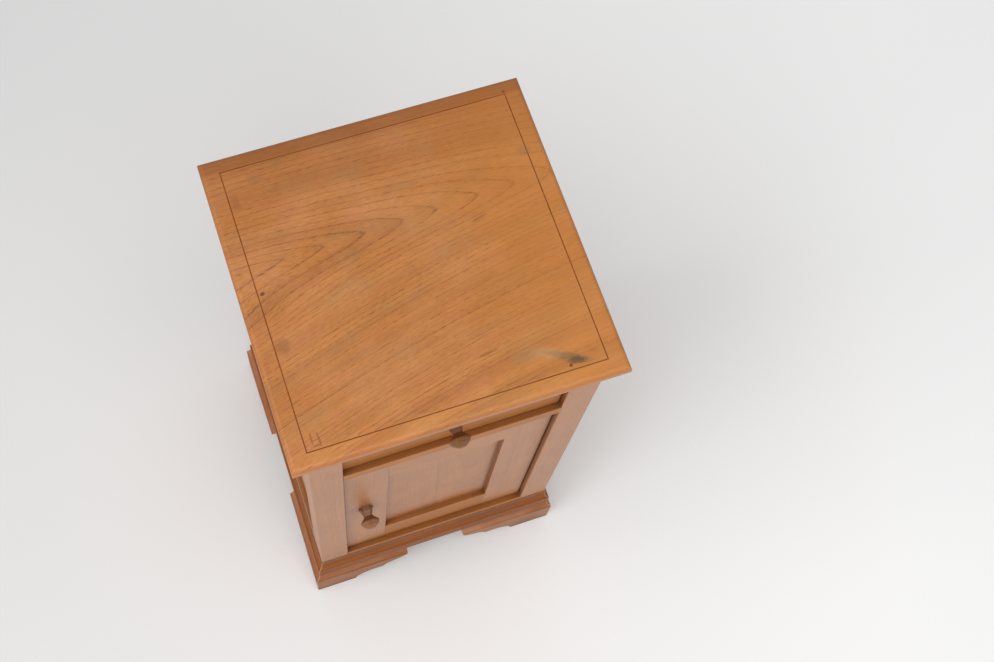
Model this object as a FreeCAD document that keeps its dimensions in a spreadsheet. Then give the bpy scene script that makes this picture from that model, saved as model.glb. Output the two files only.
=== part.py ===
import FreeCAD, Part
import math
import os
import re

import Sketcher

# A small square cupboard that stands beside a bed or a chair: one drawer over one
# panelled door, framed sides and back, an overhanging top with an inlaid line, and
# a moulded base on eight mitred bracket feet.
#
# The frame: +X to the right, +Y to the back, +Z up, millimetres. The origin is on
# the floor, in the middle of the box that holds the whole piece.

os.makedirs("parts", exist_ok=True)
doc = FreeCAD.newDocument("storage_side_table")

# ---------------------------------------------------------------- driving sizes
SIZES = {
    # carcass
    "carcass_width": 351,
    "carcass_depth": 360,
    "carcass_height": 763,
    "post_size": 40,
    "post_round": 1.5,
    "arris_round": 0.8,
    "rail_thickness": 22,
    "side_top_rail": 60,
    "low_rail": 70,
    "set_back": 8,
    "panel_thickness": 8,
    "groove_depth": 8,
    "panel_play": 1,
    "tenon_length": 18,
    "tenon_thickness": 8,
    "tenon_shoulder": 10,
    "mortise_gap": 0.5,
    # top
    "top_thickness": 17,
    "side_overhang": 19.5,
    "front_overhang": 14.5,
    "back_overhang": 6.5,
    "upper_round": 6,
    "lower_round": 3.5,
    "line_inset": 18,
    "line_side_inset": 21.5,
    "line_width": 1.4,
    "line_depth": 1.5,
    # front
    "top_rail_thickness": 18,
    "drawer_opening": 109,
    "divider_thickness": 20,
    "divider_depth": 45,
    "flat_tenon_inset": 8,
    "flat_tenon_depth": 24,
    "flat_tenon_thickness": 8,
    # base
    "foot_height": 80,
    "moulding_height": 58,
    "fillet_height": 30,
    "moulding_projection": 8,
    "lip_width": 1.5,
    "cavetto_height": 14,
    "foot_projection": 14.5,
    "cove_height": 14,
    "bracket_length": 131,
    "pad_length": 47,
    "hollow_radius": 30,
    "flat_length": 15,
    "scroll_rise": 20,
    "scroll_run": 20,
    "tip_height": 12,
    "glue_block_size": 18,
    "glue_block_length": 60,
    # floor of the cupboard
    "board_thickness": 10,
    "bearer_size": 18,
    # door
    "door_gap": 1.5,
    "door_thickness": 18,
    "stile_width": 58,
    "door_top_rail": 82,
    "door_low_rail": 66,
    "door_panel_thickness": 6,
    "door_panel_recess": 8,
    "door_tenon_thickness": 6,
    "door_tenon_length": 34,
    "door_groove_depth": 7,
    "pivot_radius": 2.5,
    "pivot_clearance": 0.05,
    "pivot_length": 14,
    "pivot_from_edge": 13,
    "pivot_from_front": 6,
    "washer_radius": 6,
    "washer_thickness": 1.2,
    "stop_gap": 0.3,
    "stop_length": 28,
    "stop_height": 14,
    "catch_radius": 3.5,
    "catch_length": 14,
    "catch_rise": 1.1,
    "catch_from_edge": 14,
    "strike_thickness": 0.8,
    "strike_width": 10,
    "strike_length": 26,
    # drawer
    "drawer_gap": 1.2,
    "slide_gap": 0.3,
    "drawer_back_gap": 8,
    "drawer_side_thickness": 9,
    "drawer_top_gap": 4,
    "drawer_bottom_thickness": 5,
    "drawer_bottom_lift": 8,
    "drawer_groove_depth": 4,
    "dovetail_lap": 4,
    "dovetail_flare": 2.5,
    "dovetail_neck": 15,
    "runner_width": 14,
    "runner_thickness": 16,
    "guide_rise": 14,
    "drawer_stop_height": 5,
    "drawer_stop_depth": 12,
    "drawer_stop_length": 30,
    "drawer_stop_from_middle": 60,
    "kicker_width": 40,
    # knobs
    "spigot_radius": 5,
    "spigot_length": 14,
    "collar_across": 19,
    "collar_thickness": 3.5,
    "quirk_width": 0.7,
    "quirk_across": 14.5,
    "neck_across": 16.5,
    "waist_across": 11.2,
    "waist_level": 11.5,
    "head_root_level": 15,
    "head_root_across": 15.5,
    "rim_level": 19.5,
    "rim_thickness": 1.8,
    "head_across": 25,
    "dome_level": 25.5,
    "dome_across": 19,
    "crown_level": 29,
    "crown_across": 8,
    "knob_from_edge": 28,
    "door_knob_height": 237,
    # screws that hold the top
    "screw_radius": 2,
    "screw_head_radius": 4,
    "screw_head_depth": 2.5,
    "screw_bite": 11,
    "screw_spacing": 170,
}

# Places that follow from the sizes.
PLACES = {
    "half_width": "carcass_width / 2",
    "front_face": "(crown_level - set_back - carcass_depth - foot_projection) / 2",
    "back_face": "front_face + carcass_depth",
    "opening_half": "half_width - post_size",
    "show_face": "front_face + set_back",
    "cupboard_floor": "foot_height + low_rail",
    "drawer_ceiling": "carcass_height - top_rail_thickness",
    "drawer_floor": "drawer_ceiling - drawer_opening",
    "door_ceiling": "drawer_floor - divider_thickness",
    "rail_back": "half_width - rail_thickness",
    "panel_face": "half_width - set_back",
    "panel_back": "panel_face - panel_thickness",
    "door_half": "opening_half - door_gap",
    "door_foot": "cupboard_floor + door_gap",
    "door_head": "door_ceiling - door_gap",
    "door_back": "show_face + door_thickness",
    "pivot_across": "door_half - pivot_from_edge",
    "pivot_along": "show_face + pivot_from_front",
    "drawer_half": "opening_half - drawer_gap",
    "drawer_foot": "drawer_floor + slide_gap",
    "drawer_head": "drawer_ceiling - drawer_top_gap",
    "drawer_end": "back_face - post_size - drawer_back_gap",
    "knob_across": "door_half - knob_from_edge",
}

FACETS = 8
DOVETAILS = 3

sheets = {}
for title, cells in (("Sizes", SIZES), ("Places", PLACES)):
    sheets[title] = doc.addObject("Spreadsheet::Sheet", title)


def bound(text):
    """The text as an expression, each size or place named with its sheet."""
    def with_sheet(match):
        word = match.group(0)
        if word in SIZES:
            return f"Sizes.{word}"
        return f"Places.{word}" if word in PLACES else word
    return re.sub(r"[a-z_]+", with_sheet, str(text))


for title, cells in (("Sizes", SIZES), ("Places", PLACES)):
    for row, (word, entry) in enumerate(cells.items(), start=1):
        sheets[title].set(f"A{row}", word)
        sheets[title].set(f"B{row}", f"={bound(entry)}" if title == "Places" else str(entry))
        sheets[title].setAlias(f"B{row}", word)
doc.recompute()


def value(text):
    """What an expression comes to, as a plain number."""
    return float(sheets["Sizes"].evalExpression(bound(text)))


# ---------------------------------------------------------------- building blocks
def block(name, x, y, z):
    """A rectangular block; x, y and z each give where it starts and ends."""
    box = doc.addObject("Part::Box", name)
    for size, axis, (low, high) in (("Length", "x", x), ("Width", "y", y), ("Height", "z", z)):
        box.setExpression(size, bound(f"({high}) - ({low})"))
        box.setExpression(f"Placement.Base.{axis}", bound(low))
    return box


def bar(name, x, y, z, shown, along):
    """A block whose arrises on the shown face are eased, along its length or all round."""
    body = doc.addObject("PartDesign::Body", name)
    box = body.newObject("PartDesign::AdditiveBox", f"{name}_box")
    for size, (low, high) in (("Length", x), ("Width", y), ("Height", z)):
        box.setExpression(size, bound(f"({high}) - ({low})"))
    letter, at_start = {"front": ("y", True), "back": ("y", False),
                        "left": ("x", True), "right": ("x", False)}[shown]
    low, high = {"x": x, "y": y}[letter]
    level = 0 if at_start else value(f"({high}) - ({low})")

    def on_shown_face(edge):
        middle = getattr(edge.CenterOfMass, letter)
        direction = edge.tangentAt(edge.FirstParameter)
        runs = along == "all" or abs(getattr(direction, along)) > 0.9
        return abs(middle - level) < 1e-3 and runs and abs(getattr(direction, letter)) < 0.1

    eased(body, box, "arris_round", on_shown_face)
    return place(body, x[0], y[0], z[0])


def place(thing, x, y, z, axis=(0, 0, 1), angle=0):
    """Puts a thing at a point, turned about an axis."""
    thing.Placement.Rotation = FreeCAD.Rotation(FreeCAD.Vector(*axis), angle)
    for letter, text in zip("xyz", (x, y, z)):
        thing.setExpression(f"Placement.Base.{letter}", bound(text))
    return thing


def bore(name, radius, depth, x, y, z, axis=(0, 0, 1), angle=0):
    """A round rod, the tool that drills a hole or the pin that fills it."""
    rod = doc.addObject("Part::Cylinder", name)
    rod.setExpression("Radius", bound(radius))
    rod.setExpression("Height", bound(depth))
    return place(rod, x, y, z, axis, angle)


def eased(body, feature, radius, chosen):
    """Rounds the edges of a feature that the test picks out."""
    doc.recompute()
    edges = [f"Edge{number}" for number, edge in enumerate(feature.Shape.Edges, start=1)
             if chosen(edge)]
    fillet = body.newObject("PartDesign::Fillet", f"{body.Name}_round")
    fillet.Base = (feature, edges)
    fillet.setExpression("Radius", bound(radius))
    return fillet


def joined(label, pieces):
    """Several solids as one."""
    if len(pieces) == 1:
        return pieces[0]
    fuse = doc.addObject("Part::MultiFuse", label)
    fuse.Shapes = pieces
    return fuse


def cut(label, base, tools):
    """A solid with the tools cut out of it."""
    if not tools:
        return base
    result = doc.addObject("Part::Cut", label)
    result.Base = base
    result.Tool = joined(f"{label}_tools", tools)
    return result


def across(side, inner, outer):
    """The stretch between two distances from the middle, to the left or the right."""
    return (inner, outer) if side == "right" else (f"-({outer})", f"-({inner})")


def plane(body, role):
    """One of a body's own origin planes."""
    return next(item for item in body.Origin.OriginFeatures if item.Role == role)


def sketch_on(body, name, role, lift="0"):
    """An empty sketch on one of a body's origin planes, or lifted off it."""
    sketch = body.newObject("Sketcher::SketchObject", name)
    sketch.AttachmentSupport = [(plane(body, role), "")]
    sketch.MapMode = "FlatFace"
    sketch.setExpression("AttachmentOffset.Base.z", bound(lift))
    return sketch


def arc_between(start, end, radius, turn):
    """The shorter arc from start to end; turn is 1 for anticlockwise, -1 for clockwise."""
    chord = end - start
    reach = math.sqrt(max(radius ** 2 - (chord.Length / 2) ** 2, 0))
    sideways = FreeCAD.Vector(-chord.y, chord.x, 0).normalize()
    centre = (start + end) / 2 + sideways * reach * turn
    first, last = (start, end) if turn > 0 else (end, start)
    angles = [math.atan2(point.y - centre.y, point.x - centre.x) for point in (first, last)]
    circle = Part.Circle(centre, FreeCAD.Vector(0, 0, 1), radius)
    return Part.ArcOfCircle(circle, angles[0], angles[1])


def outline(sketch, corners):
    """A closed outline. A corner is (x, y), or (x, y, radius, turn) where an arc starts."""
    points = [FreeCAD.Vector(value(corner[0]), value(corner[1]), 0) for corner in corners]
    ends = []
    for number, corner in enumerate(corners):
        start, end = points[number], points[(number + 1) % len(points)]
        if len(corner) == 2:
            edge = sketch.addGeometry(Part.LineSegment(start, end), False)
            ends.append((edge, 1, 2))
            continue
        radius, turn = corner[2:]
        edge = sketch.addGeometry(arc_between(start, end, value(radius), turn), False)
        ends.append((edge, 1, 2) if turn > 0 else (edge, 2, 1))
        size = sketch.addConstraint(Sketcher.Constraint("Radius", edge, value(radius)))
        sketch.setExpression(f"Constraints[{size}]", bound(radius))
    for number, (edge, first, _) in enumerate(ends):
        before, _, last = ends[number - 1]
        sketch.addConstraint(Sketcher.Constraint("Coincident", before, last, edge, first))
        for kind, text in zip(("DistanceX", "DistanceY"), corners[number]):
            size = sketch.addConstraint(Sketcher.Constraint(kind, -1, 1, edge, first, value(text)))
            sketch.setExpression(f"Constraints[{size}]", bound(text))
    return sketch


def pad(body, sketch, length, symmetric=False):
    """The sketch made solid, to one side or to both."""
    feature = body.newObject("PartDesign::Pad", f"{sketch.Name}_pad")
    feature.Profile = sketch
    feature.setExpression("Length", bound(length))
    if symmetric:
        feature.SideType = "Symmetric"
    return feature


def pocket_through(body, sketch):
    """The sketch cut right through the body, both ways."""
    feature = body.newObject("PartDesign::Pocket", f"{sketch.Name}_pocket")
    feature.Profile = sketch
    feature.Type = "ThroughAll"
    feature.SideType = "Symmetric"
    return feature


def rectangle(x, y):
    """The four corners between two stretches."""
    return [(x[0], y[0]), (x[1], y[0]), (x[1], y[1]), (x[0], y[1])]


nodes = {}


def keep(label, thing):
    """Marks a finished sub-part and gives it its name."""
    thing.Label = label
    nodes[label] = thing
    return thing


# ---------------------------------------------------------------- frame joinery
# What is cut into a post or a door stile: mortises, grooves and bores, by piece.
sockets = {}


def rail(label, ends, axis, stretch, tenon, length, grooves=(), shown="front"):
    """A rail with a tenon at both ends; the mortises go to the pieces at its ends."""
    low, high = stretch[axis]
    tongues = [bar(f"{label}_bar", *stretch.values(), shown, axis)]
    for name, reach, deeper in (
        (ends[0], (f"{low} - {length}", low), (f"{low} - {length} - mortise_gap", low)),
        (ends[1], (high, f"{high} + {length}"), (high, f"{high} + {length} + mortise_gap")),
    ):
        tongues.append(block(f"{label}_tenon", *{**stretch, **tenon, axis: reach}.values()))
        mortise = block(f"{label}_mortise", *{**stretch, **tenon, axis: deeper}.values())
        sockets.setdefault(name, []).append(mortise)
    whole = joined(f"{label}_with_tenons", tongues)
    return keep(label, cut(f"{label}_grooved", whole, list(grooves)))


def inset(stretch, from_low, size):
    """A narrower stretch that starts a little way in."""
    return (f"({stretch[0]}) + {from_low}", f"({stretch[0]}) + {from_low} + {size}")


def shouldered(stretch):
    """A stretch without its two shoulders."""
    return (f"({stretch[0]}) + tenon_shoulder", f"({stretch[1]}) - tenon_shoulder")


def widened(stretch, by):
    """A stretch made longer at both ends."""
    return (f"({stretch[0]}) - ({by})", f"({stretch[1]}) + ({by})")


def wall(side, ends, axis, outer, panel, between):
    """A framed wall: a top rail, a low rail and a thin panel held in their grooves."""
    levels = {"top": ("carcass_height - side_top_rail", "carcass_height"),
              "low": ("foot_height", "cupboard_floor")}
    middle = ("cupboard_floor", "carcass_height - side_top_rail")
    other = "y" if axis == "x" else "x"
    slot = widened(middle, "groove_depth")
    tenon_across = inset(outer, "(rail_thickness - tenon_thickness) / 2", "tenon_thickness")
    for level, height in levels.items():
        groove = block(f"{side}_{level}_groove", *in_order(axis, between, other, panel, slot))
        rail(f"{side}_rail_{level}", ends, axis,
             stretches(axis, between, other, outer, height),
             {other: tenon_across, "z": shouldered(height)}, "tenon_length", [groove], side)
    for end, reach in zip(ends, ((f"{between[0]} - groove_depth", between[0]),
                                 (between[1], f"{between[1]} + groove_depth"))):
        sockets.setdefault(end, []).append(
            block(f"{side}_post_groove", *in_order(axis, reach, other, panel, slot)))
    held = "groove_depth - panel_play"
    keep(f"{side}_panel", block(f"{side}_panel_board", *in_order(
        axis, widened(between, held), other, panel, widened(middle, held))))


def stretches(axis, along, other, thickness, height):
    """Stretches by axis, in the order x, y, z."""
    named = {axis: along, other: thickness, "z": height}
    return {letter: named[letter] for letter in "xyz"}


def in_order(axis, along, other, thickness, height):
    """The same stretches as a list."""
    return list(stretches(axis, along, other, thickness, height).values())


# ---------------------------------------------------------------- framed walls
between_posts_x = ("-opening_half", "opening_half")
between_posts_y = ("front_face + post_size", "back_face - post_size")

for side in ("left", "right"):
    wall(side, (f"post_front_{side}", f"post_back_{side}"), "y",
         across(side, "rail_back", "half_width"),
         across(side, "panel_back", "panel_face"), between_posts_y)
wall("back", ("post_back_left", "post_back_right"), "x",
     ("back_face - rail_thickness", "back_face"),
     ("back_face - set_back - panel_thickness", "back_face - set_back"), between_posts_x)


# ---------------------------------------------------------------- front rails
def flat_rail(label, depth, height, tools=()):
    """A rail that lies flat across the front, with a flat tenon at both ends."""
    thickness = f"(({height[1]}) - ({height[0]}) - flat_tenon_thickness) / 2"
    tenon = {"y": inset(("front_face", ""), "flat_tenon_inset", "flat_tenon_depth"),
             "z": inset(height, thickness, "flat_tenon_thickness")}
    stretch = {"x": between_posts_x, "y": ("front_face", f"front_face + {depth}"), "z": height}
    return rail(label, ("post_front_left", "post_front_right"), "x", stretch, tenon,
                "tenon_length", tools)


def pivot(name, extra, low, length):
    """The round pin that the door turns on, or with extra radius the hole for it."""
    return bore(name, f"pivot_radius + {extra}", length, "pivot_across", "pivot_along", low)


catch_place = ("-(door_half - catch_from_edge)", "show_face + door_thickness / 2")
strike = {
    "x": (f"{catch_place[0]} - strike_length / 2", f"{catch_place[0]} + strike_length / 2"),
    "y": (f"{catch_place[1]} - strike_width / 2", f"{catch_place[1]} + strike_width / 2"),
    "z": ("door_ceiling", "door_ceiling + strike_thickness"),
}

flat_rail("front_rail_top", "post_size", ("drawer_ceiling", "carcass_height"))
flat_rail("divider_rail", "divider_depth", ("door_ceiling", "drawer_floor"), [
    block("strike_seat", *strike.values()),
    bore("ball_recess", "catch_radius", "catch_rise * 3", *catch_place, "door_ceiling"),
    pivot("upper_pin_hole", "0", "door_ceiling", "pivot_length"),
])
low_front = {"x": between_posts_x, "y": ("front_face", "front_face + rail_thickness"),
             "z": ("foot_height", "cupboard_floor")}
rail("front_rail_low", ("post_front_left", "post_front_right"), "x", low_front, {
    "y": inset(low_front["y"], "(rail_thickness - tenon_thickness) / 2", "tenon_thickness"),
    "z": shouldered(low_front["z"])}, "tenon_length",
    [pivot("lower_pin_hole", "0", "cupboard_floor - pivot_length", "pivot_length")])


# ---------------------------------------------------------------- posts
def is_upright(edge):
    """Whether an edge runs up and down."""
    return abs(edge.tangentAt(edge.FirstParameter).z) > 0.9


def post(side, end):
    """A square corner post, its upright arrises rounded, with all its joinery cut."""
    label = f"post_{end}_{side}"
    body = doc.addObject("PartDesign::Body", f"{label}_body")
    section = sketch_on(body, f"{label}_section", "XY_Plane")
    y = ("front_face", "front_face + post_size")
    if end == "back":
        y = ("back_face - post_size", "back_face")
    outline(section, rectangle(across(side, "opening_half", "half_width"), y))
    eased(body, pad(body, section, "carcass_height"), "post_round", is_upright)
    return keep(label, cut(f"{label}_cut", body, sockets[label]))


for end in ("front", "back"):
    for side in ("left", "right"):
        post(side, end)


# ---------------------------------------------------------------- top
screw_places = [(across(side, "rail_back - kicker_width / 2", "0")[0 if side == "right" else 1],
                 f"{sign} * screw_spacing / 2")
                for side in ("left", "right") for sign in ("-1", "1")]


def screws(name, places, head_level):
    """Countersunk wood screws that point up, their heads flush at a level."""
    made = []
    for number, (x, y) in enumerate(places, start=1):
        head = doc.addObject("Part::Cone", f"{name}_head{number}")
        head.setExpression("Radius1", bound("screw_head_radius"))
        head.setExpression("Radius2", bound("screw_radius"))
        head.setExpression("Height", bound("screw_head_depth"))
        place(head, x, y, head_level)
        shank = bore(f"{name}_shank{number}", "screw_radius",
                     "top_rail_thickness + screw_bite", x, y, head_level)
        made.append(joined(f"{name}_screw{number}", [head, shank]))
    return made


top_x = ("-(half_width + side_overhang)", "half_width + side_overhang")
top_y = ("front_face - front_overhang", "back_face + back_overhang")
top_screws = screws("top", screw_places, "drawer_ceiling")
keep("top_screws", joined("top_screws_set", top_screws))


def line_ring(body, name, lift):
    """The rectangle of the inlaid line, with its inner edge."""
    ring = sketch_on(body, name, "XY_Plane", lift)
    for inside in ("0", "line_width"):
        across_top = widened(top_x, f"-(line_side_inset + {inside})")
        along_top = widened(top_y, f"-(line_inset + {inside})")
        outline(ring, rectangle(across_top, along_top))
    return ring


def lies_at(level):
    """A test for the edges that lie at one level."""
    def test(edge):
        return abs(edge.CenterOfMass.z - value(level)) < 1e-3
    return test


top = doc.addObject("PartDesign::Body", "top_body")
top_outline = sketch_on(top, "top_outline", "XY_Plane")
outline(top_outline, rectangle(top_x, top_y))
top_plain = pad(top, top_outline, "top_thickness")
top_rounded = eased(top, top_plain, "upper_round", lies_at("top_thickness"))
eased(top, top_rounded, "lower_round", lies_at("0"))
seat = line_ring(top, "line_seat", "top_thickness")
groove = top.newObject("PartDesign::Pocket", "line_groove")
groove.Profile = seat
groove.setExpression("Length", bound("line_depth"))
place(top, "0", "0", "carcass_height")
keep("top_board", cut("top_board_cut", top, [joined("top_screw_holes", top_screws)]))

stringing = doc.addObject("PartDesign::Body", "stringing_body")
pad(stringing, line_ring(stringing, "stringing_ring", "0"), "line_depth")
place(stringing, "0", "0", "carcass_height + top_thickness - line_depth")
keep("top_stringing", stringing)

# ---------------------------------------------------------------- moulded base
# A face of the base, seen from outside: its turn, its left corner, its width, and
# what its left-hand and right-hand ends are called.
FACES = {
    "front": (0, "-half_width", "front_face", "carcass_width", ("left", "right")),
    "right": (90, "half_width", "front_face", "carcass_depth", ("front", "back")),
    "back": (180, "half_width", "back_face", "carcass_width", ("right", "left")),
    "left": (270, "-half_width", "back_face", "carcass_depth", ("back", "front")),
}


def mitre(body, name, corner, outward, depth):
    """Cuts one end off at 45 degrees, through the corner of the carcass."""
    wedge = sketch_on(body, name, "XY_Plane")
    tip = f"{corner} + {outward} * {depth}"
    outline(wedge, [(corner, "0"), (tip, f"-{depth}"), (tip, "0")][::-outward])
    return pocket_through(body, wedge)


def base_moulding(face):
    """A strip with a thin upper lip, a hollow below it and a tall square fillet."""
    turn, _, _, width, _ = FACES[face]
    body = doc.addObject("PartDesign::Body", f"moulding_{face}_body")
    section = sketch_on(body, f"moulding_{face}_section", "YZ_Plane")
    run = "(moulding_projection - lip_width)"
    outline(section, [
        ("0", "foot_height"),
        ("0", "foot_height + moulding_height"),
        ("-lip_width", "foot_height + moulding_height"),
        ("-lip_width", "foot_height + fillet_height + cavetto_height",
         f"({run} ^ 2 + cavetto_height ^ 2) / (2 * {run})", -1),
        ("-moulding_projection", "foot_height + fillet_height"),
        ("-moulding_projection", "foot_height"),
    ])
    pad(body, section, f"{width} + 2 * moulding_projection", symmetric=True)
    mitre(body, f"moulding_{face}_left_mitre", f"-{width} / 2", -1, "moulding_projection")
    mitre(body, f"moulding_{face}_right_mitre", f"{width} / 2", 1, "moulding_projection")
    middle = {"front": ("0", "front_face"), "back": ("0", "back_face"),
              "left": ("-half_width", "(front_face + back_face) / 2"),
              "right": ("half_width", "(front_face + back_face) / 2")}[face]
    return keep(f"base_moulding_{face}", place(body, *middle, "0", angle=turn))


def foot_bracket(face, hand):
    """Half a bracket foot: a scrolled board, coved along its top, mitred at the corner.

    It is drawn from the carcass's corner: along the face in x, out of it in -y.
    """
    turn, corner_x, corner_y, _, ends = FACES[face]
    name = f"foot_{face}_{ends[0] if hand > 0 else ends[1]}"
    body = doc.addObject("PartDesign::Body", f"{name}_body")
    scroll_start = "pad_length + hollow_radius + flat_length"
    scroll_end = f"{scroll_start} + scroll_run"
    scroll_top = "hollow_radius + scroll_rise"
    tip_rise = "foot_height - tip_height - hollow_radius - scroll_rise"
    profile = [
        ("-foot_projection", "0"),
        ("pad_length", "0", "hollow_radius", -1),
        ("pad_length + hollow_radius", "hollow_radius"),
        (scroll_start, "hollow_radius", "sqrt(scroll_run ^ 2 + scroll_rise ^ 2)", -1),
        (scroll_end, scroll_top,
         f"sqrt((bracket_length - ({scroll_end})) ^ 2 + ({tip_rise}) ^ 2)", 1),
        ("bracket_length", "foot_height - tip_height"),
        ("bracket_length", "foot_height"),
        ("-foot_projection", "foot_height"),
    ]
    elevation = sketch_on(body, f"{name}_elevation", "XZ_Plane")
    outline(elevation, profile if hand > 0 else mirrored(profile))
    pad(body, elevation, "foot_projection")
    cove = sketch_on(body, f"{name}_cove", "YZ_Plane")
    step = "(foot_projection - moulding_projection)"
    outline(cove, [
        ("-foot_projection", "foot_height - cove_height",
         f"({step} ^ 2 + cove_height ^ 2) / (2 * {step})", 1),
        ("-moulding_projection", "foot_height"),
        ("-foot_projection", "foot_height"),
    ])
    pocket_through(body, cove)
    mitre(body, f"{name}_mitre", "0", -hand, "foot_projection")
    if hand < 0:
        corner_x, corner_y = far_corner(face)
    return keep(name, place(body, corner_x, corner_y, "0", angle=turn))


def mirrored(corners):
    """An outline turned left for right; its arcs start at their other ends."""
    turned = []
    for number in range(len(corners) - 1, -1, -1):
        x, z = corners[number][:2]
        arc = corners[number - 1][2:]
        turned.append((f"-({x})", z, *arc))
    return turned


def far_corner(face):
    """The right-hand corner of a face, seen from outside."""
    names = list(FACES)
    return FACES[names[(names.index(face) + 1) % len(names)]][1:3]


for face in FACES:
    base_moulding(face)
    foot_bracket(face, 1)
    foot_bracket(face, -1)

# Glue blocks sit behind the brackets, under the low rails and beside the posts.
block_run = ("opening_half - glue_block_length", "opening_half")
block_up = ("foot_height - glue_block_size", "foot_height")
blocks = []
for side in ("left", "right"):
    for depth in (("front_face", "front_face + glue_block_size"),
                  ("back_face - glue_block_size", "back_face")):
        blocks.append(block("glue_block", across(side, *block_run), depth, block_up))
    for depth in (("front_face + post_size", "front_face + post_size + glue_block_length"),
                  ("back_face - post_size - glue_block_length", "back_face - post_size")):
        blocks.append(block("glue_block",
                            across(side, "half_width - glue_block_size", "half_width"),
                            depth, block_up))
keep("glue_blocks", joined("glue_block_set", blocks))

# ---------------------------------------------------------------- cupboard floor
floor = block("floor_plate", ("-rail_back", "rail_back"),
              ("front_face + rail_thickness", "back_face - rail_thickness"),
              ("cupboard_floor - board_thickness", "cupboard_floor"))
corners = [block("post_notch", across(side, "opening_half", "half_width"), depth,
                 ("foot_height", "carcass_height"))
           for side in ("left", "right")
           for depth in (("front_face", "front_face + post_size"),
                         ("back_face - post_size", "back_face"))]
keep("cupboard_floor", cut("cupboard_floor_notched", floor, corners))
for side in ("left", "right"):
    keep(f"floor_bearer_{side}", block(
        "floor_bearer", across(side, "rail_back - bearer_size", "rail_back"), between_posts_y,
        ("cupboard_floor - board_thickness - bearer_size",
         "cupboard_floor - board_thickness")))

# ---------------------------------------------------------------- drawer housing
screw_tools = [joined("kicker_screw_holes", top_screws)]
for side in ("left", "right"):
    body = doc.addObject("PartDesign::Body", f"runner_{side}_body")
    section = sketch_on(body, f"runner_{side}_section", "XZ_Plane")
    corners = [
        ("opening_half - runner_width", "drawer_floor - runner_thickness"),
        ("panel_back", "drawer_floor - runner_thickness"),
        ("panel_back", "drawer_floor + guide_rise"),
        ("opening_half", "drawer_floor + guide_rise"),
        ("opening_half", "drawer_floor"),
        ("opening_half - runner_width", "drawer_floor"),
    ]
    outline(section, corners if side == "right" else mirrored(corners))
    pad(body, section, "carcass_depth - post_size - divider_depth")
    place(body, "0", "back_face - post_size", "0")
    keep(f"drawer_runner_{side}", body)
    keep(f"drawer_kicker_{side}", cut(f"kicker_{side}_drilled", block(
        "kicker", across(side, "rail_back - kicker_width", "rail_back"), between_posts_y,
        ("drawer_ceiling", "carcass_height")), screw_tools))

keep("drawer_stops", joined("drawer_stop_pair", [block(
    "drawer_stop",
    across(side, "drawer_stop_from_middle", "drawer_stop_from_middle + drawer_stop_length"),
    ("door_back + stop_gap", "door_back + stop_gap + drawer_stop_depth"),
    ("drawer_floor", "drawer_floor + drawer_stop_height")) for side in ("left", "right")]))


# ---------------------------------------------------------------- knobs
# The knob's section from the door outwards: how far out, and how wide across flats.
KNOB_SECTIONS = [
    ("0", "collar_across"),
    ("collar_thickness", "collar_across"),
    ("collar_thickness + quirk_width", "quirk_across"),
    ("collar_thickness + 2 * quirk_width", "neck_across"),
    ("waist_level", "waist_across"),
    ("head_root_level", "head_root_across"),
    ("rim_level", "head_across"),
    ("rim_level + rim_thickness", "head_across"),
    ("dome_level", "dome_across"),
    ("crown_level", "crown_across"),
]


def disc(body, name, radius):
    """A round outline about the body's own origin."""
    sketch = sketch_on(body, name, "XY_Plane")
    sketch.addGeometry(Part.Circle(FreeCAD.Vector(), FreeCAD.Vector(0, 0, 1), value(radius)), False)
    sketch.addConstraint(Sketcher.Constraint("Coincident", 0, 3, -1, 1))
    size = sketch.addConstraint(Sketcher.Constraint("Radius", 0, value(radius)))
    sketch.setExpression(f"Constraints[{size}]", bound(radius))
    return sketch


def knob(label, x, z):
    """An eight-sided knob: collar, quirk, waist and a wide head with a domed end.

    A round blank has one side cut to the knob's profile, and the cut goes round it.
    """
    body = doc.addObject("PartDesign::Body", f"{label}_body")
    pad(body, disc(body, f"{label}_blank", "head_across"), "crown_level")
    waste = sketch_on(body, f"{label}_waste", "XZ_Plane")
    outside = "2 * head_across"
    outline(waste, [("(" + width + ") / 2", level) for level, width in KNOB_SECTIONS]
            + [(outside, "crown_level"), (outside, "0")])
    side_cut = pocket_through(body, waste)
    doc.recompute()
    around = body.newObject("PartDesign::PolarPattern", f"{label}_facets")
    around.Originals = [side_cut]
    around.Axis = (plane(body, "Z_Axis"), [""])
    around.Angle = 360
    around.Occurrences = FACETS
    body.Tip = around
    pad(body, disc(body, f"{label}_spigot", "spigot_radius"), "spigot_length").Reversed = True
    return keep(label, place(body, x, "show_face", z, axis=(1, 0, 0), angle=90))


def knob_hole(name, x, z):
    """The hole that a knob's spigot is glued into."""
    return bore(name, "spigot_radius", "spigot_length", x, "show_face", z,
                axis=(1, 0, 0), angle=-90)


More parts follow.
